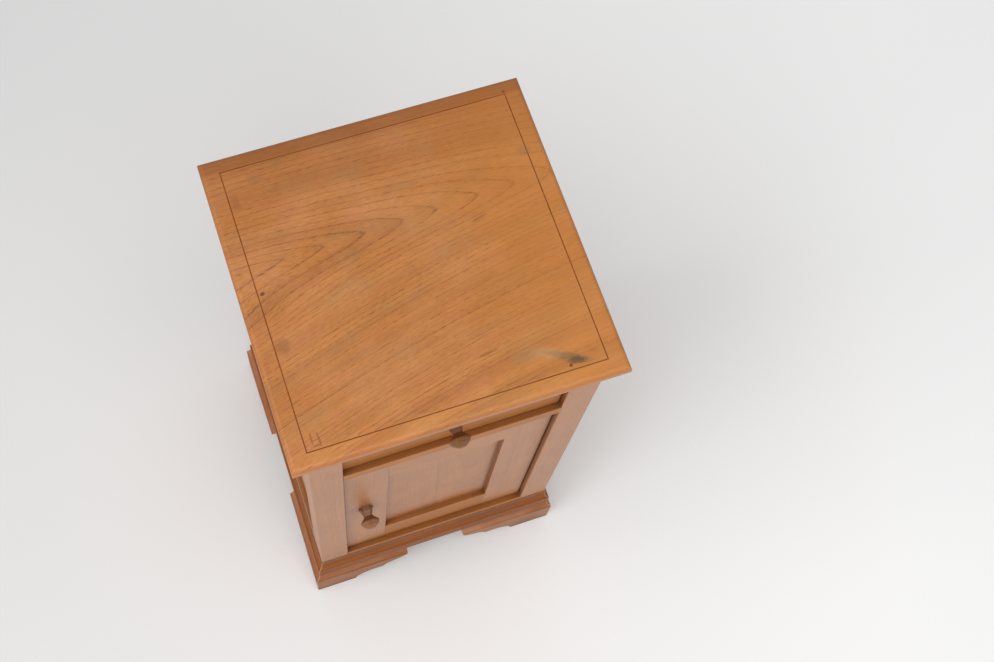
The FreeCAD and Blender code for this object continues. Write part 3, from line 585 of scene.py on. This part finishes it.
def waxed_board(name, grain, heart, **differences):
    """A board, old and waxed. The grain is the way that its tree stood, and the heart
    is a point on the tree's middle, both in the cupboard's own metres."""
    board = {**ORDINARY, **differences}
    material = bpy.data.materials.new(name)
    material.use_nodes = True
    tree = material.node_tree
    tree.nodes.clear()
    place = add(tree, "ShaderNodeTexCoord").outputs["Object"]
    trunk = in_the_trunk(tree, place, grain, heart)
    colour, layers, pores = planed_wood(tree, trunk, board)
    colour, clouds = clouded(tree, colour, place, board["shade"], board["bloom"])
    if board["marks"]:
        colour = board["marks"](tree, colour, place)
    colour = darkened_by_wax_and_shade(tree, colour, board["wax_and_shade"], board["ledge"])
    colour = edge_worn(tree, colour, board["worn"])
    gloss = add(tree, "ShaderNodeMath", {
        0: clouds, 1: GLOSS_CHANGE, 2: board["roughness"] - GLOSS_CHANGE / 2},
        operation="MULTIPLY_ADD").outputs[0]
    shader = add(tree, "ShaderNodeBsdfPrincipled", {
        "Base Color": colour, "Roughness": gloss, "Normal": relief_of(tree, layers, pores),
        "IOR": WOOD_IOR, "Specular IOR Level": board["gleam"],
        "Coat Weight": board["wax"], "Coat Roughness": WAX_ROUGHNESS})
    add(tree, "ShaderNodeOutputMaterial", {0: shader.outputs[0]})
    return material


print("waxed tones:", BOARD_TONES)


# %% Give a finish
def finish(material, *names):
    """Gives the material to the named boards."""
    for name in names:
        for slot in nodes[name].material_slots:
            slot.material = material


print("slots to fill:", sum(len(thing.material_slots) for thing in nodes.values()))

# %% [markdown]
# ## Marks of use
#
# The top has been lived with. A spilt cup left a long greyish stain near the right-hand
# front corner, a box left three thin scratches near the left-hand one, and small dents
# and rubbed spots lie all over. Each mark is a soft oval, its border roughened by noise.
# It belongs to the board: it is placed in metres from the top's middle.

# %% The top's marks
# Each mark: its middle, half its length and width, its turn in degrees, its colour and
# how strong it is. The first five are the stain, the next three the scratches.
TOP_MARKS = [
    ((0.130, -0.155), (0.027, 0.0050), -27, "#6E5A3C", 0.62),
    ((0.139, -0.163), (0.011, 0.0045), -8, "#55452F", 0.70),
    ((0.112, -0.146), (0.020, 0.0070), -20, "#B49568", 0.35),
    ((0.085, -0.143), (0.017, 0.0090), 0, "#8E7A55", 0.30),
    ((0.131, -0.167), (0.0022, 0.0020), 0, "#3E2413", 0.70),
    ((-0.164, -0.159), (0.0012, 0.0080), 0, "#7A4A26", 0.55),
    ((-0.156, -0.161), (0.0014, 0.0090), 4, "#7A4A26", 0.55),
    ((-0.160, -0.168), (0.0060, 0.0012), 0, "#7A4A26", 0.45),
    ((-0.1675, 0.0150), (0.0030, 0.0022), 20, "#4A2A14", 0.75),
    ((0.1725, 0.1745), (0.0022, 0.0020), 0, "#3E2413", 0.80),
    ((0.170, 0.095), (0.009, 0.007), 0, "#8C6A48", 0.40),
    ((-0.164, -0.050), (0.011, 0.010), 30, "#8A5636", 0.45),
    ((-0.166, 0.130), (0.006, 0.010), 0, "#8A5636", 0.40),
    ((-0.136, 0.152), (0.012, 0.006), 0, "#8E5F3F", 0.35),
    ((0.092, 0.030), (0.010, 0.0022), 15, "#83502C", 0.50),
    ((0.048, -0.126), (0.012, 0.0016), 8, "#7A4A26", 0.50),
]
print("marks on the top:", len(TOP_MARKS))


# %% One mark
def from_the_mark(tree, place, middle, half, degrees):
    """Each point's distance from a mark's middle, which is 1 at the mark's border."""
    centred = add(tree, "ShaderNodeVectorMath", {0: place, 1: (*middle, 0)},
                  operation="SUBTRACT").outputs[0]
    turned = add(tree, "ShaderNodeMapping", {
        "Vector": centred, "Rotation": (0, 0, -math.radians(degrees))}).outputs[0]
    scaled = add(tree, "ShaderNodeVectorMath", {0: turned, 1: (1 / half[0], 1 / half[1], 0)},
                 operation="MULTIPLY").outputs[0]
    return add(tree, "ShaderNodeVectorMath", {0: scaled}, operation="LENGTH").outputs["Value"]


print("a mark's border is at distance 1")

# %% All the marks
RAGGED_SIZE = 7 * MM
RAGGED = 1.1
OUTSIDE, INSIDE = 1.80, 1.05


def top_marks(tree, colour, place):
    """Lays each mark over the board's colour, with a ragged soft border."""
    ragged = add(tree, "ShaderNodeTexNoise", {
        "Vector": place, "Scale": 1 / RAGGED_SIZE, "Detail": 4.0}).outputs[0]
    for middle, half, degrees, code, strength in TOP_MARKS:
        distance = from_the_mark(tree, place, middle, half, degrees)
        border = add(tree, "ShaderNodeMath", {0: ragged, 1: RAGGED, 2: distance},
                     operation="MULTIPLY_ADD").outputs[0]
        patch = add(tree, "ShaderNodeMapRange", {
            0: border, 1: OUTSIDE, 2: INSIDE, 4: strength},
            interpolation_type="SMOOTHSTEP").outputs[0]
        colour = add(tree, "ShaderNodeMix", {0: patch, 6: colour, 7: tone(code)},
                     data_type="RGBA").outputs[2]
    return colour


print("a mark's border is ragged over", RAGGED_SIZE / MM, "mm")

# %% [markdown]
# The top isn't one colour from end to end. Its right-hand end is plainer. The strip
# outside the inlaid line is a little paler in front, where hands rest, and darker at
# the back, where things stood against the wall. Its side faces are painted a deeper
# brown, a painted shade that holds down their sheen.

# %% The old top
# Each wash: where it starts, where it is full, how strong it is and its colour. The
# places are in metres from the top's middle, and the edges go by the normal's height.
PLAIN_END = (0.02, 0.15, 0.45, "#C07A34")
# Painted shade: the side faces, whose normal doesn't look up, get a deeper brown that holds
# down their sheen.
SIDE_FACES_IN_PAINTED_SHADE = (0.9, 0.3, 0.50, "#AE5A12")
FRONT_STRIP = (-0.168, -0.174, 0.15, "#E09A55")
BACK_FADE = (0.080, 0.150, 0.28)
BACK_STRIP = (0.169, 0.174, 0.34)
BACK_COLOUR = "#84491F"


def old_top(tree, colour, place):
    """The top's marks, its slow changes of colour, and painted shade on its side faces."""
    across, depth, _ = add(tree, "ShaderNodeSeparateXYZ", {0: place}).outputs
    colour = washed(tree, colour, across, *PLAIN_END)
    colour = top_marks(tree, colour, place)
    normal = add(tree, "ShaderNodeNewGeometry").outputs["True Normal"]
    upward = add(tree, "ShaderNodeSeparateXYZ", {0: normal}).outputs["Z"]
    colour = washed(tree, colour, upward, *SIDE_FACES_IN_PAINTED_SHADE)
    colour = washed(tree, colour, depth, *FRONT_STRIP)
    fade, strip = (add(tree, "ShaderNodeMapRange", {
        0: depth, 1: start, 2: full, 4: strength}).outputs[0]
        for start, full, strength in (BACK_FADE, BACK_STRIP))
    dark = add(tree, "ShaderNodeMath", {0: fade, 1: strip}).outputs[0]
    return add(tree, "ShaderNodeMix", {0: dark, 6: colour, 7: tone(BACK_COLOUR)},
               data_type="RGBA").outputs[2]


print("the back's colour is", BACK_COLOUR)

# %% [markdown]
# ## The top
#
# The top is one wide flat-sawn board, grain from side to side. Its tree leaned by a few
# degrees to the saw, so the rings come out as long arches that point to the right. The
# heart passes only 16 mm under the board's upper face. The tree wasn't round: its years
# are wide and level behind the heart, and in front they are narrower and fan out
# towards the left-hand end. A round trunk can't give both, so the trunk is reshaped
# before its rings are counted.

# %% Fan the front
# The fan opens less and less along the trunk and stops 65 mm in front of the heart. The
# lengths are in metres.
FAN = 2.5
FAN_CURVE = 5.0
FAN_REACH = -0.065
SOFT_TURN = 0.006
SOFT_END = 0.02


def fanned_out(tree, trunk):
    """How far each point is behind the heart, the front years fanned out."""
    _, behind, along = add(tree, "ShaderNodeSeparateXYZ", {0: trunk}).outputs
    front = add(tree, "ShaderNodeMath", {0: behind, 1: 0.0, 2: SOFT_TURN},
                operation="SMOOTH_MIN").outputs[0]
    near = add(tree, "ShaderNodeMath", {0: front, 1: FAN_REACH, 2: SOFT_END},
               operation="SMOOTH_MAX").outputs[0]
    slope = add(tree, "ShaderNodeMath", {0: along, 1: -FAN_CURVE, 2: FAN},
                operation="MULTIPLY_ADD").outputs[0]
    turned = add(tree, "ShaderNodeMath", {0: along, 1: slope}, operation="MULTIPLY").outputs[0]
    return add(tree, "ShaderNodeMath", {0: near, 1: turned, 2: behind},
               operation="MULTIPLY_ADD").outputs[0]


print("the front years spread by", FAN, "for each metre of trunk")

# %% Narrow and wide years
# A ring's width counts as this part of a year, behind the heart and in front of it.
BEHIND = 0.50
FRONT = 0.655
POINT = 1.5 * MM


def ring_measure(tree, trunk, fanned):
    """The same distance as the rings count it, with a point where the arches turn."""
    wide = add(tree, "ShaderNodeMath", {0: fanned, 1: 0.0, 2: SOFT_TURN},
               operation="SMOOTH_MIN").outputs[0]
    narrow = add(tree, "ShaderNodeMath", {0: fanned, 1: BEHIND},
                 operation="MULTIPLY").outputs[0]
    counted = add(tree, "ShaderNodeMath", {0: wide, 1: FRONT - BEHIND, 2: narrow},
                  operation="MULTIPLY_ADD").outputs[0]
    behind = add(tree, "ShaderNodeSeparateXYZ", {0: trunk}).outputs["Y"]
    point = add(tree, "ShaderNodeMapRange", {
        0: behind, 1: -SOFT_TURN, 2: SOFT_TURN, 3: -POINT, 4: POINT},
        interpolation_type="SMOOTHSTEP").outputs[0]
    return add(tree, "ShaderNodeMath", {0: counted, 1: point}).outputs[0]


print("a year's width behind and in front of the heart:", 1 / BEHIND, 1 / FRONT)


# %% The top's tree
def top_tree(tree, trunk):
    """The trunk as its fibres grew, and the trunk as its rings are counted."""
    side, _, along = add(tree, "ShaderNodeSeparateXYZ", {0: trunk}).outputs
    fanned = fanned_out(tree, trunk)
    counted = ring_measure(tree, trunk, fanned)
    fibres, rings = (add(tree, "ShaderNodeCombineXYZ", {
        "X": side, "Y": behind, "Z": along}).outputs[0] for behind in (fanned, counted))
    return fibres, rings


print("the top's fibres and rings follow one fan")

# %% Top board
TOP_TONES = ("#CA8547", "#BB773B", "#A76533", "#744020")
TOP_GRAIN = (1.0, 0.045, -0.077)
HEART_BACK = 53.5 * MM
HEART_DEPTH = 15.9 * MM

top_low, top_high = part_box("top_board")
top_heart = (0.0, HEART_BACK, top_high.z - HEART_DEPTH)
top_wood = waxed_board("waxed_elm_top", TOP_GRAIN, top_heart, ring=3.6 * MM,
                       wander=1.4 * MM, tones=TOP_TONES, tints=TOP_TINTS,
                       lopsided=top_tree, marks=old_top, worn=0.0, ledge=0.0,
                       bloom=0.08, gleam=0.3, wax=0.1)
finish(top_wood, "top_board")
print("top from", tuple(top_low), "to", tuple(top_high))

# %% [markdown]
# ### The inlaid line
#
# A line of wood 1.4 mm wide is let into the top. It was stained dark once. It has faded
# to a warm brown and is duller than the board, because the wax wears off it. It could be
# painted on the top's material, but it is a strip of its own with its own grain.

# %% Stained line
LINE_TONES = ("#8E4E20", "#7E4217", "#6A340F", "#4A2408")
LINE_GRAIN = (1, 0, 0)
LINE_HEART = (0, 0, 0.2)
line_wood = waxed_board("stained_line", LINE_GRAIN, LINE_HEART, contrast=0.4,
                        tones=LINE_TONES, roughness=0.5, worn=0.0, ledge=0.0,
                        gleam=0.15, wax=0.0)
finish(line_wood, "top_stringing")
print("line tones:", LINE_TONES)

# %% [markdown]
# ## Boards that show
#
# Posts, stiles and panels stand upright, so their grain runs up. Along rails, mouldings
# and brackets it runs level, and the knobs are turned with the grain along their length.
# One material for all would give them one figure that runs on from board to board, as
# if the cupboard were carved from a log. So each board has its own.

# %% Which way each board runs
UPRIGHT = (0.01, 0.02, 1)
SIDEWAYS = (1, 0.015, 0.02)
DEEPWAYS = (0.02, 1, 0.015)
show_boards = {
    UPRIGHT: ["post_front_left", "post_front_right", "post_back_left", "post_back_right",
              "left_panel", "right_panel", "back_panel",
              "door_stile_left", "door_stile_right", "door_panel"],
    SIDEWAYS: ["front_rail_top", "divider_rail", "front_rail_low", "back_rail_top",
               "back_rail_low", "drawer_front", "door_rail_top", "door_rail_low",
               "base_moulding_front", "base_moulding_back", "foot_front_left",
               "foot_front_right", "foot_back_right", "foot_back_left"],
    DEEPWAYS: ["left_rail_top", "right_rail_top", "left_rail_low", "right_rail_low",
               "base_moulding_left", "base_moulding_right", "foot_right_front",
               "foot_right_back", "foot_left_back", "foot_left_front",
               "door_knob", "drawer_knob"],
}
print("boards that show:", sum(len(names) for names in show_boards.values()))

# %% How the boards have aged
# Most are rubbed and waxed now and then. The low rails and the boards under the top's
# overhang are dry and dirty and also carry painted shade, the knobs are dark from hands,
# the base is dark from the mop and from painted shade on its ledges, and the feet are
# scuffed by shoes and carry a painted sheen.
RUBBED = {"contrast": 0.6, "shade": 1.02, "wax": 0.20, "bloom": 0.08}
DRY = {"shade": 1.06, "bloom": 0.0, "wax_and_shade": 0.8, "roughness": 0.5, "gleam": 0.2, "wax": 0.05}
KNOB_TONES = ("#A06A40", "#8E5C35", "#784A2A", "#4A2A14")
HANDLED = {"tones": KNOB_TONES, "bloom": 0.0, "wax_and_shade": 0.65, "ledge": 0.3, "gleam": 0.4,
           "wax": 0.0}
BASE_TONES = ("#B86F38", "#A65F2C", "#8C4B21", "#5A2E14")
MOPPED = {"tones": BASE_TONES, "contrast": 0.8, "shade": 0.79, "bloom": 0.0, "wax_and_shade": 1.0,
          "ledge": 0.66, "worn": 0.55, "roughness": 0.55, "gleam": 0.15, "wax": 0.0}
SCUFFED = {**MOPPED, "shade": 0.97, "bloom": 0.25, "gleam": 0.35}
print("shades:", {"rubbed": RUBBED["shade"], "dry": DRY["shade"], "mopped": MOPPED["shade"]})

# %% Boards with an age of their own
# The divider's and the low rail's ledges are never wiped, and they also carry painted shade
# from their recesses.
board_age = {
    "door_rail_top": {"shade": 1.10, "bloom": 0.12, "wax": 0.10},
    "door_rail_low": DRY,
    "front_rail_low": {**DRY, "ledge": 0.4},
    "divider_rail": {**DRY, "ledge": 0.42},
    "drawer_front": {**DRY, "wax_and_shade": 0.6, "gleam": 0.15, "wax": 0.0},
    "door_knob": HANDLED,
    "drawer_knob": {**HANDLED, "shade": 0.90, "worn": 0.1, "gleam": 0.2},
}
board_age.update({name: MOPPED for name in nodes if name.startswith("base_moulding")})
board_age.update({name: SCUFFED for name in nodes if name.startswith("foot_")})
print("boards with an age of their own:", len(board_age))

# %% [markdown]
# Each board comes from another place in its tree, 110 mm from the heart. From one board
# to the next that place turns round the heart by the golden angle, so that no two
# boards are cut alike and none is left to chance.

# %% Wood for each
GOLDEN_ANGLE = 2.399
HEART_AWAY = 110 * MM
ALONG_TURN = 1.7
BOARD_RING = 4.2 * MM

count = 0
for grain, names in show_boards.items():
    for name in names:
        count += 1
        low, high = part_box(name)
        swing = count * GOLDEN_ANGLE
        away = Vector((math.cos(swing), math.sin(swing), math.cos(swing * ALONG_TURN)))
        age = {**RUBBED, **board_age.get(name, {})}
        finish(waxed_board(f"waxed_elm_{name}", grain, (low + high) / 2 + away * HEART_AWAY,
                           ring=BOARD_RING, **age), name)
print("elm boards:", count)

# %% [markdown]
# ## Boards that don't show
#
# A cabinet maker keeps the good wood for the outside. The drawer's sides and bottom,
# the runners, the glue blocks and the cupboard's floor are plain pine, planed and never
# waxed, so they are paler, straight in the grain and dull. The same material serves,
# with pale tones, narrow years and no coat.

# %% Plain pine
PINE_TONES = ("#D8B483", "#CFA874", "#C09562", "#A87C4C")
PINE = {"tones": PINE_TONES, "ring": 3.5 * MM, "wax_and_shade": 0.4, "ledge": 0.0, "worn": 0.0,
        "roughness": 0.62, "wax": 0.0}
PINE_HEART = (0.09, 0.12)
PINE_STEP = 0.03

pine_boards = [name for name in nodes
               if name.startswith(("glue_", "cupboard_floor", "floor_bearer", "drawer_side",
                                   "drawer_back", "drawer_bottom", "drawer_runner",
                                   "drawer_kicker", "drawer_stops", "door_stop"))]
for number, name in enumerate(pine_boards):
    low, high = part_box(name)
    span = high - low
    grain = SIDEWAYS if span.x > span.y else DEEPWAYS
    heart = (low + high) / 2 + Vector((PINE_STEP * number, *PINE_HEART))
    finish(waxed_board(f"plain_pine_{name}", grain, heart, **PINE), name)
print("pine boards:", len(pine_boards))

# %% [markdown]
# ## Fittings
#
# The pins that the door turns on and the screws under the top are drawn steel, turned
# grey with age. The washer, the ball catch and its plate are brass that has never been
# lacquered, so brown tarnish sits on it in spots a few millimetres wide. A metal keeps
# the default IOR, and its colour is the colour of its reflection. One noise between a
# clean and a dull tone is enough for pieces this small.

# %% Metals
TARNISH_SIZE = 3 * MM
METALS = [
    ("drawn_steel", ["top_screws", "door_pivot_pins"], "#8C8A86", "#5E5A55", 0.38),
    ("aged_brass", ["door_pivot_washer", "ball_catch", "catch_strike"],
     "#B08D4E", "#5A4A38", 0.33),
]
for title, names, clean, tarnished, roughness in METALS:
    metal = bpy.data.materials.new(title)
    metal.use_nodes = True
    tree = metal.node_tree
    place = add(tree, "ShaderNodeTexCoord").outputs["Object"]
    spots = add(tree, "ShaderNodeTexNoise", {
        "Vector": place, "Scale": 1 / TARNISH_SIZE, "Detail": 4.0}).outputs[0]
    dull = add(tree, "ShaderNodeMix", {0: spots, 6: tone(clean), 7: tone(tarnished)},
               data_type="RGBA").outputs[2]
    shader = tree.nodes["Principled BSDF"]
    tree.links.new(dull, shader.inputs["Base Color"])
    shader.inputs["Metallic"].default_value = 1.0
    shader.inputs["Roughness"].default_value = roughness
    finish(metal, *names)
    print(title, "on", names)

# %% [markdown]
# ## Nodes without a material
#
# The last cell lists every node that still has no material.

# %% Nodes without a material
print("bare nodes:", sorted(name for name, thing in nodes.items()
                            if not any(slot.material for slot in thing.material_slots)))
